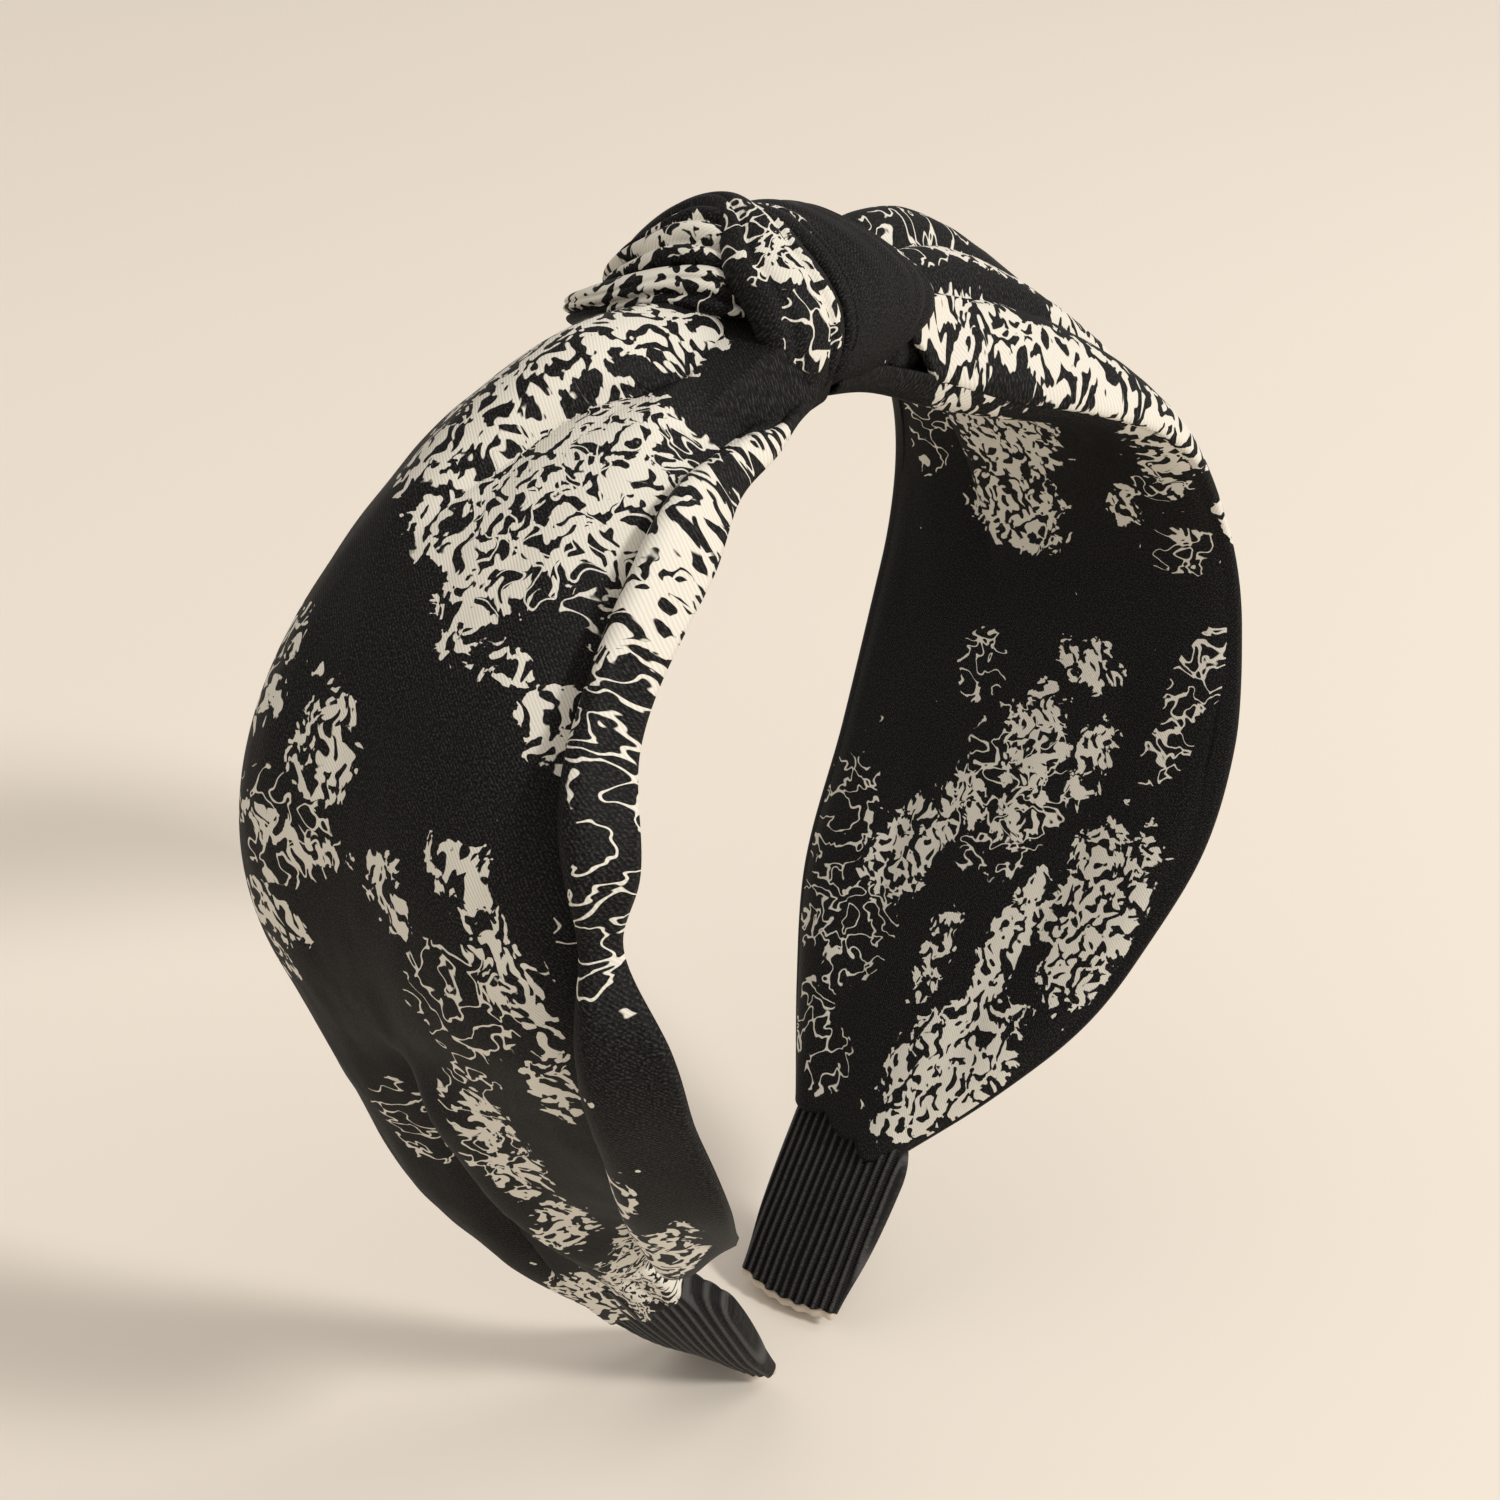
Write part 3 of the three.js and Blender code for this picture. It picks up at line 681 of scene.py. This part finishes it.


# ---------------------------------------------------------------- where the print is

# Rounded patches of print, placed one by one: the middle along and across, the half sizes along and
# across, the turn in degrees, and the strength.
PRINT = {
    "left_outer": {
        "foliage": [
            (38, -4, 13, 9, 20, 1.0), (46, 4, 6, 8, 0, 1.0), (42, -13, 12, 5, 15, 0.95),
            (18, 3, 9, 5, 0, 0.95), (20, -9.5, 7, 1.6, 8, 0.8), (32, -16, 8, 2.5, 12, 0.85),
            (28, 6, 17, 4, -12, 1.0), (26, 14, 12, 6, 0, 0.9), (42, 12, 5, 4, 0, 0.95),
            (50, -2, 6, 6, 30, 0.85), (57, -5, 2.4, 6, 0, 0.8), (60, -14, 4, 4, 0, 0.85),
            (74, -9, 3, 4.5, 0, 0.8), (82, -15, 9, 3.4, 25, 0.85), (95, -17, 9, 3, -5, 0.85),
            (79, -1, 5, 4, 30, 0.75), (69, 10, 6, 5, 0, 0.8), (61, 20, 4, 4, 0, 0.8),
            (67, 20, 4, 4, 0, 0.8), (78, 13, 2.2, 10, 0, 0.85), (88, 18, 4, 6, 0, 0.85),
            (95, 20, 4, 4, 0, 0.8), (107, -6, 7, 3.2, 0, 0.8), (118, -7, 8, 3.8, -10, 0.82),
            (131, -7, 9, 4, -10, 0.85), (109, -22, 9, 3, -28, 0.9), (125, -24, 14, 5, -15, 0.95),
            (140, -15, 14, 4, -25, 1.0), (156, -10, 14, 7, -20, 1.0), (165, 2, 10, 10, 0, 1.0),
            (162, -14, 14, 9, 0, 1.0), (154, -22, 13, 7, 0, 1.0), (125, 4, 10, 2.5, 0, 0.75),
        ],
        "sketch": [
            (55, -19, 14, 3.5, 15, 1.0), (74, -24, 8, 4, 0, 1.0), (79, -27, 4, 3, 0, 1.0),
            (28, -12, 8, 4, 20, 1.0), (87, -9, 7, 7, 0, 0.9), (96, -7, 5, 4, 0, 0.9),
            (104, -5, 6, 4, 0, 0.9), (113, -6, 8, 5, 0, 0.8), (120, 11, 9, 4, 0, 1.0),
            (40, -4, 15, 12, 0, 0.7), (78, 15, 6, 9, 0, 0.8), (155, -10, 16, 8, -20, 0.8),
        ],
    },
    "right_outer": {
        "foliage": [
            (24, -8, 10, 4, 10, 0.9), (40, -14, 13, 3.4, 18, 1.0), (56, -20, 12, 3, 14, 1.0),
            (42, 12, 12, 5, 0, 0.95), (26, 12, 8, 5, 0, 0.8), (34, -2, 11, 3, 16, 0.85),
            (52, -9, 12, 3, 22, 0.9), (60, 15, 9, 4, -10, 0.75), (84, 14, 10, 6, 20, 0.8),
            (100, -14, 12, 9, 0, 0.9), (118, 10, 12, 7, -20, 0.85), (132, -14, 12, 8, 30, 0.9),
            (152, 2, 12, 9, 0, 1.0), (166, 0, 6, 8, 0, 0.9), (78, -24, 9, 4, 0, 0.8),
        ],
        "sketch": [
            (26, 2, 12, 5, 0, 0.9), (50, -5, 14, 4, 18, 0.8), (76, 2, 12, 9, 0, 0.9),
            (106, -2, 10, 12, 0, 0.9), (96, -24, 16, 5, 0, 1.0), (140, 14, 14, 6, 0, 0.9),
        ],
    },
    "left_inner": {
        "foliage": [
            (30, 2, 14, 9, 0, 1.0), (54, -8, 9, 8, 20, 0.9), (80, 12, 12, 8, 0, 0.85),
            (96, -14, 12, 8, -20, 0.9), (122, 4, 12, 10, 10, 0.9), (146, -12, 12, 8, 0, 0.9),
            (160, 2, 8, 8, 0, 0.9),
        ],
        "sketch": [(70, -16, 12, 8, 0, 0.9), (108, 14, 14, 6, 0, 1.0), (134, -22, 12, 5, 0, 1.0)],
    },
    "right_inner": {
        "foliage": [
            (64, 3, 14, 9, -10, 0.95), (80, 3, 8, 9, 0, 0.9), (60, 14, 8, 5, 15, 0.9),
            (35, -5, 18, 8, -20, 0.95), (58, -20, 14, 4, 0, 0.95), (74, -14, 5, 3, 0, 0.8),
            (100, -12, 4, 5, 0, 0.8), (113, -16, 8, 3.5, 0, 0.75), (115, -8, 14, 4.5, 0, 0.82),
            (131, -23, 15, 7, 0, 0.92), (140, -13, 12, 3, -5, 1.0), (158, -12, 12, 8, -30, 1.0),
            (145, -4, 8, 3, 0, 0.8), (133, 6, 9, 6, -35, 0.85), (124, 0, 5, 4.5, 0, 0.78),
        ],
        "sketch": [
            (147, 9, 8, 6, 0, 1.0), (165, 6, 5, 4, 0, 0.9), (160, 12, 6, 4, 0, 0.9),
            (132, 18, 9, 6, 0, 1.0), (145, 17, 7, 4, 0, 1.0), (96, -28, 9, 3.4, -25, 1.0),
            (108, -25, 6, 3, -20, 0.9), (68, -19, 4, 4, 0, 0.9), (80, -22, 4, 6, 0, 0.9),
            (72, 18, 9, 4, 0, 0.8), (105, 3, 6, 4, 0, 0.8), (120, -6, 14, 9, 0, 0.75),
        ],
    },
}


def patches(rows, along, across):
    """Strength of a list of rounded patches, fading out past their rims."""
    total = np.zeros_like(along)
    for middle, over, half_along, half_across, turn, strength in rows:
        a = np.radians(turn)
        u = (along - middle) * np.cos(a) - (across - over) * np.sin(a)
        v = (along - middle) * np.sin(a) + (across - over) * np.cos(a)
        far = np.sqrt((u / half_along) ** 2 + (v / half_across) ** 2)
        total = np.maximum(total, strength * (1 - smooth_step(far, 0.55, 1.35)))
    return total


# Where each panel lies in the plane of the print, in millimetres, so that no two look the same.
SHIFT = {"left_outer": (0, 0), "right_outer": (300, 0), "left_inner": (0, 200), "right_inner": (300, 200)}


def make_panel(hand, face, reach, surface):
    """A printed panel of a sleeve, as wide as reach times its half width."""
    name = f"{hand}_{face}"
    along, place = panel_grid(reach)
    across, out = surface(hand, along, place)
    points = hoop_points(SIDES[hand] * slanted(hand, along, place), across, out)
    front, back, _ = np.moveaxis(curve(SLEEVE, along), -1, 0)
    over = place * np.where(place < 0, front, back)
    shift_over, shift_along = SHIFT[name]
    uvs = np.stack([over + shift_over, along + shift_along], axis=-1)
    masks = {kind: patches(rows, along, over) for kind, rows in PRINT[name].items()}
    return cloth_object(f"{name}_sleeve", points, uvs, masks, CLOTH)


FLEX_SPAN = (14.0, 46.0)     # the stretch of the hoop whose ends blend_over_flex works out and then leaves unused


def blend_over_flex(piece, hand):
    start, end = hoop_points(SIDES[hand] * np.array(FLEX_SPAN), np.zeros(2), np.zeros(2))
    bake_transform(piece)


def make_sleeve(hand):
    reach = 1 + EDGE_TURN / EDGE_TURN_AT
    outer = make_panel(hand, "outer", reach, outer_surface)
    finish_piece(outer, "satin", replaces=(f"{hand}_gather", f"{hand}_outer_panel"))
    blend_over_flex(outer, hand)
    inner = make_panel(hand, "inner", 1.0, inner_surface)
    finish_piece(inner, "satin", replaces=(f"{hand}_inner_panel",))
    blend_over_flex(inner, hand)


def make_interlining(hand):
    """The stiff backing between the panels, just under the outer one."""
    rows, columns = 120, 50
    reach = BACKING["reach"]
    along, place = np.meshgrid(np.linspace(BACKING["from"], BACKING["to"], rows),
                               np.linspace(-reach, reach, columns), indexing="ij")
    across, out = outer_surface(hand, along, place)
    points = hoop_points(SIDES[hand] * slanted(hand, along, place), across, out - CLOTH - BACKING["gap"])
    uvs = np.stack([across, along], axis=-1)
    piece = cloth_object(f"{hand}_backing", points, uvs, {}, BACKING["thickness"])
    finish_piece(piece, "lining", replaces=(f"{hand}_interlining",))
    blend_over_flex(piece, hand)


# ---------------------------------------------------------------- hoop, tips and stitches

def make_core(hand):
    """Half of the moulded hoop, from the crown's middle to just short of the tip."""
    rows, columns = 160, 24
    along = np.linspace(0.05, HALF_LENGTH - CORE_GAP, rows)[:, None]
    angle = ring_angles(columns)
    half_width, half_thickness = CORE_HALF
    across = half_width * signed_power(np.cos(angle), 0.6)
    out = half_thickness * signed_power(np.sin(angle), 0.6)
    taper = np.sqrt(np.clip((HALF_LENGTH - 2.4 - along) / 6, 0.05, 1))
    piece = tube_object(f"{hand}_hoop", hoop_points(SIDES[hand] * along, across * taper, out))
    nodes = (f"{hand}_core", "crown_core") if hand == "left" else (f"{hand}_core",)
    finish_piece(piece, "core", replaces=nodes)
    blend_over_flex(piece, hand)


TIP_FROM = 160.0
TIP_END = HALF_LENGTH - 0.4
TIP_HALF_END = 8.0
TIP_HALF = [(TIP_FROM, 9.6), (185, 9.2), (TIP_END, TIP_HALF_END)]
TIP_THICK = [(TIP_FROM, 2.2), (190, 2.1), (TIP_END, 1.3)]     # half of its thickness, along the hoop
TIP_BOW = 1.3            # how far the middle of the cut end stands past its corners
SCALLOP_PITCH = 2.5
RIB_HEIGHT = 0.5
HEM_ROOM = 1.3           # between the ribbon's front edge and the sleeve's, inside the hem
LOWEST = 0.0002          # nothing goes lower than this, in metres


def tip_bow(across):
    """How far the ribbon's cut end is behind its middle, at places across it."""
    return TIP_BOW * (1 - np.cos(np.pi * across / (2 * TIP_HALF_END)))


def tip_half_width(hand, along, flat):
    """Half width of the ribbon, whose front keeps inside the sleeve down to the hem."""
    half = curve(TIP_HALF, along)
    room = curve(SLEEVE, along)[..., 0] + curve(EDGE_WAVES[hand], along) - HEM_ROOM
    front = np.minimum(half, room + (half - room) * smooth_step(along, HEM_AT - 8, HEM_AT + 6))
    return np.where(flat < 0, front, half)


def make_tip(hand):
    """The ribbon pocket over a tip, with its cords running down it and a scalloped end."""
    rows, columns = 90, 260
    side = SIDES[hand]
    angle = ring_angles(columns)
    along, turn = np.meshgrid(np.linspace(TIP_FROM, TIP_END, rows), angle, indexing="ij")
    flat = signed_power(np.cos(turn), 0.75)
    slope = signed_power(np.sin(turn), 0.55)
    across = tip_half_width(hand, along, flat) * flat
    waves = 0.25 * rumple(along, across, 9, 7, 40 + side)
    out = (curve(TIP_THICK, along) + waves * np.abs(slope)) * slope
    short = tip_bow(across) + 0.2 * (1 - np.cos(2 * np.pi * across / SCALLOP_PITCH))
    along = along - smooth_step(along, TIP_END - 12, TIP_END) * short
    out = out + edge_drift(hand, along, flat)

    # The ribbon clears the moulded hoop, and then the cords are added to it.
    facing = np.where(slope < 0, -1, 1)
    clear = clear_of_core(across, out, facing) - facing * 0.5
    out = np.where(along < TIP_END - 4, facing * np.maximum(facing * out, facing * clear), out)
    out = out + RIB_HEIGHT * np.abs(np.cos(np.pi * across / RIB_PITCH)) * slope
    points = hoop_points(side * along, across, out)
    points[..., 2] = np.maximum(points[..., 2], LOWEST)
    piece = tube_object(f"{hand}_tip", points, np.stack([across, along], axis=-1))
    finish_piece(piece, "ribbon", body=f"{hand}_arm", replaces=(f"{hand}_tip_ribbon",))


def make_tip_edge(hand):
    """The narrow lining tape that shows along the ribbon's cut end."""
    rows, columns = 60, 14
    half_length, half_thickness = 0.97 * TIP_HALF_END, 1.05
    angle = ring_angles(columns)
    place, turn = np.meshgrid(np.linspace(-half_length, half_length, rows), angle, indexing="ij")
    taper = np.clip(1.02 - (place / TIP_HALF_END) ** 2, 0.05, 1) ** 0.25
    wave = 0.15 * np.cos(2 * np.pi * place / SCALLOP_PITCH)
    along = HALF_LENGTH - 0.6 - tip_bow(place) + wave + np.cos(turn)
    points = hoop_points(SIDES[hand] * along, place, half_thickness * taper * np.sin(turn) - 0.1)
    points[..., 2] = np.maximum(points[..., 2], LOWEST)
    piece = tube_object(f"{hand}_tip_edge", points)
    finish_piece(piece, "lining", body=f"{hand}_arm")


STITCH_LENGTH = 1.9
STITCH_SPACE = 0.9
STITCH_RADIUS = 0.17
STITCH_GRID = (7, 8)     # rings along a stitch, and points round each
STITCHES_ABOVE_HEM = {"upper": 6.5, "lower": 3.0}


def stitch_rings(line, run, start, facing):
    """Rings round one stitch of a line of (along, across, out), thin and sunk at its ends."""
    rings, sides = STITCH_GRID
    steps = np.linspace(start, start + STITCH_LENGTH, rings)[:, None]
    along, across, out = (np.interp(steps, run, line[:, axis]) for axis in range(3))
    to_end = np.linspace(-1, 1, rings)[:, None] ** 4
    swell = STITCH_RADIUS * np.sqrt(np.maximum(0.06, 1 - to_end))
    sunk = facing * STITCH_RADIUS * 1.2 * to_end
    angle = ring_angles(sides)
    return np.stack(np.broadcast_arrays(along + swell * np.cos(angle), across,
                                        out - sunk + swell * np.sin(angle)), axis=-1)


def stitch_row(hand, name, above_hem, node):
    """A row of separate thread stitches round the sleeve above its hem."""
    stitches = []
    for surface, facing, reach in ((outer_surface, 1, 0.97), (inner_surface, -1, 0.94)):
        place = np.linspace(-reach, reach, 400)
        along = np.full_like(place, HEM_AT - above_hem)
        across, out = (values[0] for values in surface(hand, along[None, :], place[None, :]))
        out = out + facing * STITCH_RADIUS * 0.6
        line = np.stack([slanted(hand, along, place), across, out], axis=-1)
        run = run_along(line[:, 1:])
        start = STITCH_SPACE
        while start + STITCH_LENGTH < run[-1]:
            stitches.append(stitch_rings(line, run, start, facing))
            start += STITCH_LENGTH + STITCH_SPACE
    places = np.array(stitches).reshape(-1, 3)
    points = hoop_points(SIDES[hand] * places[:, 0], places[:, 1], places[:, 2])
    rings, sides = STITCH_GRID
    faces = []
    for base in range(0, len(points), rings * sides):
        last = base + (rings - 1) * sides
        faces += grid_faces(rings, sides, base, False, closed=True).tolist()
        faces += [list(range(base + sides - 1, base - 1, -1)), list(range(last, last + sides))]
    if SIDES[hand] < 0:
        faces = [face[::-1] for face in faces]
    piece = mesh_object(name, points, faces)
    finish_piece(piece, "thread", body=f"{hand}_arm", replaces=(node,))


# ---------------------------------------------------------------- the knot

# Each band of the knot runs through stations. A station is the two edges of the band there, and
# how far the cloth puffs out between them. A crease is its place across, its depth and its width,
# and a patch of print is its place across and along, its half sizes and its strength.
KNOT = {
    "knot_front_wrap": {
        "stations": [
            ((-3, 17, -6), (4, 17, -6), 1.2), ((-4, 21, 0), (4, 20.5, 0), 1.8),
            ((-3.8, 15, 8.6), (3, 14, 7.6), 2.2), ((-3.0, 8.5, 11.4), (0.8, 7, 10.0), 2.4),
            ((-5.8, 5, 10.0), (1.5, 3, 9.0), 2.8), ((-8.6, 2, 8.0), (0.9, -0.6, 7.2), 3.0),
            ((-9.6, -1, 5.6), (0.4, -4, 4.8), 3.2), ((-10.6, -3.4, 3.2), (0.2, -5.8, 2.2), 3.2),
            ((-11.2, -4.8, 0.2), (-0.6, -6.6, -0.4), 2.8), ((-10.8, -5.4, -2.8), (-2.0, -6.4, -3.0), 2.4),
            ((-9.2, -3.8, -5.4), (-4.0, -4.2, -6.0), 2.0), ((-7, 1, -7), (-1, 1, -7.4), 1.4),
            ((-5, 8, -6.6), (1, 8, -6.8), 1.0),
        ],
        "creases": [(-0.5, 0.7, 0.12), (0.45, 0.9, 0.10), (0.8, 0.5, 0.08)],
        "foliage": [(0.5, 0.44, 0.35, 0.07, 0.9), (0.1, 0.55, 0.6, 0.06, 1.0), (0.4, 0.62, 0.4, 0.05, 0.9)],
        "sketch": [(-0.4, 0.5, 0.7, 0.10, 1.0), (0, 0.66, 0.8, 0.06, 0.9)],
    },
    "knot_middle_pleat": {
        "stations": [
            ((1.5, 14, 7.5), (6, 14, 7), 1.0), ((1.5, 9, 9.6), (6.2, 8, 8.8), 1.6),
            ((2.2, 5.5, 9.2), (6.6, 5, 8.2), 1.8), ((1.8, 1.5, 8.0), (5.4, 1, 7.0), 1.7),
            ((1.3, -2.5, 5.8), (4.2, -3, 5.0), 1.6), ((0.9, -5.3, 3), (3.4, -5.6, 2.4), 1.4),
            ((0.2, -6.6, 0), (2.4, -6.6, -0.6), 1.2), ((-1, -6.2, -3), (1, -6.2, -3.4), 0.8),
        ],
        "creases": [(0.1, 0.4, 0.2)],
        "foliage": [(0.4, 0.3, 0.3, 0.1, 0.6)],
        "sketch": [(0.4, 0.3, 0.6, 0.2, 0.7)],
    },
    "knot_side_wrap": {
        "stations": [
            ((5, 16, -6), (14, 16, -6), 1.2), ((4.5, 20.5, 0), (14, 19.5, -1), 1.8),
            ((3.5, 14.5, 7.2), (15, 12.5, 5.6), 2.2), ((3.2, 9, 8.8), (15.5, 7, 6.8), 2.6),
            ((4.4, 4.2, 7.8), (18, 2.6, 5.2), 2.8), ((3.8, 0, 6.0), (20, -0.8, 3.6), 3.0),
            ((3.2, -3.2, 3.4), (21, -3.8, 1.4), 3.2), ((2.4, -5.2, 1.0), (19.2, -5.6, -0.4), 2.8),
            ((0.6, -6.2, -1.4), (16, -6.2, -2.0), 2.2), ((-1, -6, -4), (10, -5.4, -4.4), 1.8),
            ((-2, -2, -6.4), (9, -2, -6.8), 1.4), ((-1, 4, -7), (10, 5, -7), 1.0),
        ],
        "creases": [(-0.62, 0.3, 0.12), (-0.15, 0.35, 0.3), (0.25, 0.3, 0.1), (0.62, 0.8, 0.1)],
        "foliage": [(0.92, 0.5, 0.3, 0.09, 1.0), (0.85, 0.36, 0.3, 0.06, 0.9)],
        "sketch": [(0.9, 0.52, 0.2, 0.12, 0.8), (0.0, 0.33, 1.0, 0.04, 0.5)],
    },
    "knot_lower_fold": {
        "stations": [
            ((-7, -1, 2.5), (-6.5, 1, 6.0), 1.0), ((-10, 2.5, 3.8), (-7.5, 4, 7.8), 1.9),
            ((-11.4, 7, 3.8), (-9, 8.5, 7.6), 2.2), ((-12.2, 12.5, 2.8), (-11, 13, 6.6), 2.2),
            ((-13, 17, 1.4), (-12, 17.5, 4.6), 1.9), ((-12, 20.5, -0.8), (-10.8, 21, 2.2), 1.6),
            ((-8, 21, -4), (-7, 21.5, -1), 1.2),
        ],
        "creases": [(-0.3, 1.0, 0.16), (0.35, 0.4, 0.1)],
        "foliage": [(0.5, 0.5, 0.9, 0.5, 0.9)],
        "sketch": [(-0.5, 0.3, 0.7, 0.3, 1.0)],
    },
    "knot_upper_fold": {
        "stations": [
            ((-6, 1, 5.5), (-1.5, 4, 9.6), 1.2), ((-7.8, 4.5, 7.6), (-2.0, 6.6, 11.2), 1.9),
            ((-8.8, 8.5, 7.6), (-3, 9.6, 11.4), 2.3), ((-9.8, 12.5, 6.0), (-5, 12.6, 9.4), 2.3),
            ((-9.8, 16, 4.0), (-6.2, 16, 6.8), 2.0), ((-8.3, 19.2, 0.6), (-5, 19.6, 3.0), 1.6),
            ((-5, 20.2, -4), (-2, 20.6, -2.5), 1.0),
        ],
        "creases": [(-0.35, 1.8, 0.2), (0.4, 1.4, 0.14)],
        "foliage": [(-0.2, 0.35, 0.8, 0.5, 0.85)],
        "sketch": [(0.0, 0.5, 0.9, 0.4, 0.6)],
    },
    "knot_under_tuck": {
        "stations": [
            ((7, -5, -2), (19, -5, -2), 1.6), ((7, -4, -5), (20.5, -4, -5.2), 2.8),
            ((7.5, 2, -6), (20.5, 2, -6), 3.2), ((8, 9, -5), (19, 9, -5), 2.6),
            ((8, 15, -2.5), (18, 15, -2.5), 1.6),
        ],
        "creases": [(-0.3, 0.8, 0.12), (0.4, 0.7, 0.12)],
        "foliage": [],
        "sketch": [(0.6, 0.5, 0.3, 0.2, 0.5)],
    },
}
KNOT_MIDDLE = np.array([2.0, 6.0, 1.0])
BAND_GRID = (200, 96)
BAND_SHIFT = (60, 400)   # from band to band across the plane of the print, and along it for all


def band_patches(rows, width, length):
    """Strength of a list of a band's patches of print, fading out past their rims."""
    total = np.zeros_like(width)
    for over, middle, half_over, half_along, strength in rows:
        far = np.sqrt(((width - over) / half_over) ** 2 + ((length - middle) / half_along) ** 2)
        total = np.maximum(total, strength * (1 - smooth_step(far, 0.6, 1.3)))
    return total


def make_band(name, spec, seed):
    """A puffed band of cloth through its stations, with creases along it."""
    rows, columns = BAND_GRID
    edges = np.array([[*left, *right, puff] for left, right, puff in spec["stations"]])
    middles = (edges[:, :3] + edges[:, 3:6]) / 2
    run = run_along(middles)
    t = np.linspace(0, 1, rows)
    smooth = curve(np.column_stack([run / run[-1], edges]), t)
    left, right, puff = smooth[:, :3], smooth[:, 3:6], smooth[:, 6]
    middle, half = (left + right) / 2, (right - left) / 2
    tangent = np.gradient(middle, axis=0)
    normal = np.cross(tangent, half)
    normal /= np.linalg.norm(normal, axis=1, keepdims=True)
    outward = np.einsum("ij,ij->i", normal, middle - KNOT_MIDDLE)
    normal *= np.sign(outward.mean())

    angle = ring_angles(columns)
    place = np.cos(angle) * np.ones((rows, 1))
    lift = signed_power(np.sin(angle), 0.8) * np.ones((rows, 1))
    length = t[:, None] * np.ones((1, columns))
    depth = np.zeros_like(place)
    for over, sink, width in spec["creases"]:
        depth += sink * np.exp(-(np.abs(place - over) / width) ** 1.3)
    over = place * np.linalg.norm(half, axis=1)[:, None]
    down = length * run_along(middle)[-1]
    wrinkle = 0.22 * rumple(down, over, 9, 2.6, seed)
    out = np.where(lift > 0, lift * puff[:, None] - depth * np.abs(lift) + wrinkle * lift,
                   lift * 0.5 * puff[:, None])
    places = middle[:, None, :] + half[:, None, :] * place[..., None] + normal[:, None, :] * out[..., None]
    points = hoop_points(places[..., 0], places[..., 1], places[..., 2])
    uvs = np.stack([over + BAND_SHIFT[0] * seed, down + BAND_SHIFT[1]], axis=-1)
    masks = {kind: band_patches(spec[kind], place, length) for kind in ("foliage", "sketch")}
    return tube_object(name, points, uvs, masks)


def make_knot():
    stands_for = {"knot_front_wrap": ("knot_front_loop",), "knot_side_wrap": ("knot_side_loop",)}
    for seed, (name, spec) in enumerate(KNOT.items(), start=1):
        piece = make_band(name, spec, seed)
        finish_piece(piece, "satin", body="crown", replaces=stands_for.get(name, ()))


# ---------------------------------------------------------------- assembly

for hand in SIDES:
    make_core(hand)
    make_sleeve(hand)
    make_interlining(hand)
    make_tip(hand)
    make_tip_edge(hand)
    for row, above_hem in STITCHES_ABOVE_HEM.items():
        stitch_row(hand, f"{hand}_{row}_stitches", above_hem, f"{hand}_hem_stitch_{row}")
make_knot()
